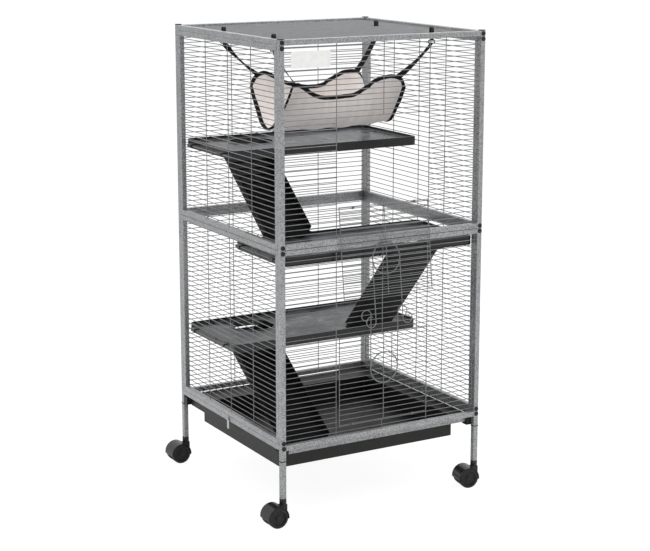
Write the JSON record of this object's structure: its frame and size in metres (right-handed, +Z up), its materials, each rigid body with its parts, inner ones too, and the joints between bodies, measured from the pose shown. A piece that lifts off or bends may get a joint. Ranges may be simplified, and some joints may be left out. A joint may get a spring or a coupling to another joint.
{
  "type": "ferret cage",
  "caption": "Two-storey wire cage on casters for ferrets, with fold-down doors, shelves, ramps, a hammock and a pull-out tray",
  "frame": {"origin": "on the ground under the middle of the cage", "axes": "+X to the right along the front, +Y to the back, +Z up; the doors are on the -Y side and the tray pulls out to -X"},
  "size_m": [0.6533, 0.5945, 1.1578],
  "materials": {
    "frame_steel": "silver hammered enamel on square steel tube",
    "wire_steel": "silver-grey coated steel wire",
    "black_trim": "black moulded plastic",
    "shelf_plastic": "charcoal moulded plastic with a soft gloss",
    "ramp_plastic": "black moulded plastic with treads",
    "hammock_cloth": "taupe-grey fleece with a black binding",
    "webbing": "black woven webbing",
    "tray_plastic": "black moulded plastic",
    "button_steel": "zinc-plated steel",
    "hood_plastic": "black moulded plastic",
    "wheel_rubber": "black rubber tread"
  },
  "bodies": {
    "cage": {"lower_posts": "frame_steel", "upper_posts": "frame_steel", "legs": "frame_steel", "lower_front_rails": "frame_steel", "lower_back_rails": "frame_steel", "upper_front_rails": "frame_steel", "upper_back_rails": "frame_steel", "lower_left_frame": "frame_steel", "lower_right_frame": "frame_steel", "upper_left_frame": "frame_steel", "upper_right_frame": "frame_steel", "base_side_rails": "frame_steel", "top_side_rails": "frame_steel", "runner_rails": "frame_steel", "lower_front_mesh": "wire_steel", "lower_back_mesh": "wire_steel", "lower_left_mesh": "wire_steel", "lower_right_mesh": "wire_steel", "upper_front_mesh": "wire_steel", "upper_back_mesh": "wire_steel", "upper_left_mesh": "wire_steel", "upper_right_mesh": "wire_steel", "top_mesh": "wire_steel", "upper_door_rings": "wire_steel", "lower_door_rings": "wire_steel", "leg_rings": "black_trim", "post_caps": "black_trim", "bolt_caps": "black_trim", "runner_brackets": "black_trim", "hammock_clips": "black_trim", "lower_shelf": "shelf_plastic", "middle_shelf": "shelf_plastic", "upper_shelf": "shelf_plastic", "hammock": "hammock_cloth", "hammock_straps": "webbing", "button_screw": "button_steel", "caster_stems": "button_steel"},
    "upper_door": {"upper_door": "wire_steel"},
    "lower_door": {"lower_door": "wire_steel"},
    "upper_latch": {"upper_latch": "wire_steel"},
    "lower_latch": {"lower_latch": "wire_steel"},
    "tray": {"tray": "tray_plastic", "tray_stud": "tray_plastic"},
    "tray_button": {"tray_button": "button_steel"},
    "lower_ramp": {"lower_ramp": "ramp_plastic"},
    "middle_ramp": {"middle_ramp": "ramp_plastic"},
    "upper_ramp": {"upper_ramp": "ramp_plastic"},
    "front_left_caster": {"front_left_hood": "hood_plastic"},
    "front_left_wheels": {"front_left_wheels": "wheel_rubber"},
    "front_right_caster": {"front_right_hood": "hood_plastic"},
    "front_right_wheels": {"front_right_wheels": "wheel_rubber"},
    "back_left_caster": {"back_left_hood": "hood_plastic"},
    "back_left_wheels": {"back_left_wheels": "wheel_rubber"},
    "back_right_caster": {"back_right_hood": "hood_plastic"},
    "back_right_wheels": {"back_right_wheels": "wheel_rubber"}
  },
  "joints": [
    {"name": "upper_door_swing", "type": "hinge", "parent": "cage", "child": "upper_door", "pos_m": [0, -0.2726, 0.751], "axis": [1, 0, 0], "range_deg": [-173.4, 0]},
    {"name": "lower_door_swing", "type": "hinge", "parent": "cage", "child": "lower_door", "pos_m": [0, -0.2726, 0.221], "axis": [1, 0, 0], "range_deg": [0, 130]},
    {"name": "upper_latch_slide", "type": "slide", "parent": "upper_door", "child": "upper_latch", "axis": [0, -0.1142, -0.9935], "range_m": [-0.012, 0]},
    {"name": "lower_latch_slide", "type": "slide", "parent": "lower_door", "child": "lower_latch", "axis": [0, 0, 1], "range_m": [0, 0.012]},
    {"name": "tray_slide", "type": "slide", "parent": "cage", "child": "tray", "axis": [-1, 0, 0], "range_m": [0, 0.48]},
    {"name": "tray_button_turn", "type": "hinge", "parent": "cage", "child": "tray_button", "pos_m": [-0.2833, 0, 0.189], "axis": [1, 0, 0], "range_deg": [-95, 95]},
    {"name": "lower_ramp_lift", "type": "hinge", "parent": "cage", "child": "lower_ramp", "pos_m": [-0.123, 0.217, 0.35], "axis": [1, 0, 0], "range_deg": [-15, 0]},
    {"name": "middle_ramp_lift", "type": "hinge", "parent": "cage", "child": "middle_ramp", "pos_m": [0.123, -0.223, 0.617], "axis": [1, 0, 0], "range_deg": [0, 15]},
    {"name": "upper_ramp_lift", "type": "hinge", "parent": "cage", "child": "upper_ramp", "pos_m": [-0.123, 0.217, 0.833], "axis": [1, 0, 0], "range_deg": [-15, 0]},
    {"name": "front_left_swivel", "type": "hinge", "parent": "cage", "child": "front_left_caster", "pos_m": [-0.2755, -0.269, 0.06], "axis": [0, 0, 1], "continuous": true},
    {"name": "front_left_roll", "type": "hinge", "parent": "front_left_caster", "child": "front_left_wheels", "pos_m": [-0.2975, -0.269, 0.025], "axis": [0, -1, 0], "continuous": true},
    {"name": "front_right_swivel", "type": "hinge", "parent": "cage", "child": "front_right_caster", "pos_m": [0.2755, -0.269, 0.06], "axis": [0, 0, 1], "continuous": true},
    {"name": "front_right_roll", "type": "hinge", "parent": "front_right_caster", "child": "front_right_wheels", "pos_m": [0.25383, -0.26518, 0.025], "axis": [-0.1736, -0.9848, 0], "continuous": true},
    {"name": "back_left_swivel", "type": "hinge", "parent": "cage", "child": "back_left_caster", "pos_m": [-0.2755, 0.269, 0.06], "axis": [0, 0, 1], "continuous": true},
    {"name": "back_left_roll", "type": "hinge", "parent": "back_left_caster", "child": "back_left_wheels", "pos_m": [-0.2975, 0.269, 0.025], "axis": [0, -1, 0], "continuous": true},
    {"name": "back_right_swivel", "type": "hinge", "parent": "cage", "child": "back_right_caster", "pos_m": [0.2755, 0.269, 0.06], "axis": [0, 0, 1], "continuous": true},
    {"name": "back_right_roll", "type": "hinge", "parent": "back_right_caster", "child": "back_right_wheels", "pos_m": [0.29717, 0.26518, 0.025], "axis": [0.1736, 0.9848, 0], "continuous": true}
  ],
  "couplings": [
    {"joint": "lower_ramp_lift", "follows": "tray_slide", "rad_per_m": -0.545}
  ]
}
